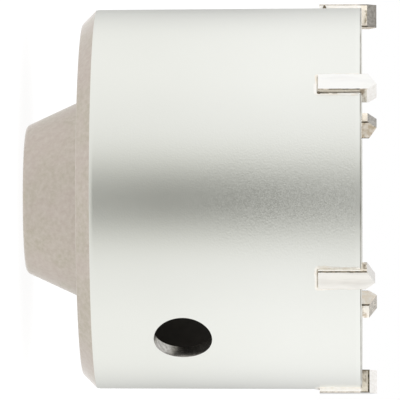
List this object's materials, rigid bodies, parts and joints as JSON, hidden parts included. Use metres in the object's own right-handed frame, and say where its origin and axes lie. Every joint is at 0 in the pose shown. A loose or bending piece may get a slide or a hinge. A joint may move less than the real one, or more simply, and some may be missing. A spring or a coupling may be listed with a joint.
{
  "type": "core drill bit",
  "caption": "Cup-shaped core drill bit with a threaded hub, brazed carbide teeth around the rim and a round hole in its wall, for cutting round openings in masonry.",
  "frame": {"origin": "centre of the hub's end face, where the arbor's shoulder seats; the part stands on this face", "axes": "+Z along the axis of rotation, from the hub to the teeth; -Y through the centre of the round hole in the wall"},
  "size_m": [0.0816, 0.08, 0.0736],
  "materials": {
    "body_steel": "satin turned steel, blasted on the hub and the back of the plate",
    "tip_carbide": "ground cemented carbide",
    "silver_braze": "rough silver braze"
  },
  "bodies": {
    "root": {"cup_body": "body_steel", "carbide_tip_1": "tip_carbide", "carbide_tip_2": "tip_carbide", "carbide_tip_3": "tip_carbide", "carbide_tip_4": "tip_carbide", "carbide_tip_5": "tip_carbide", "carbide_tip_6": "tip_carbide", "braze_seam_1": "silver_braze", "braze_seam_2": "silver_braze", "braze_seam_3": "silver_braze", "braze_seam_4": "silver_braze", "braze_seam_5": "silver_braze", "braze_seam_6": "silver_braze"}
  },
  "joints": []
}
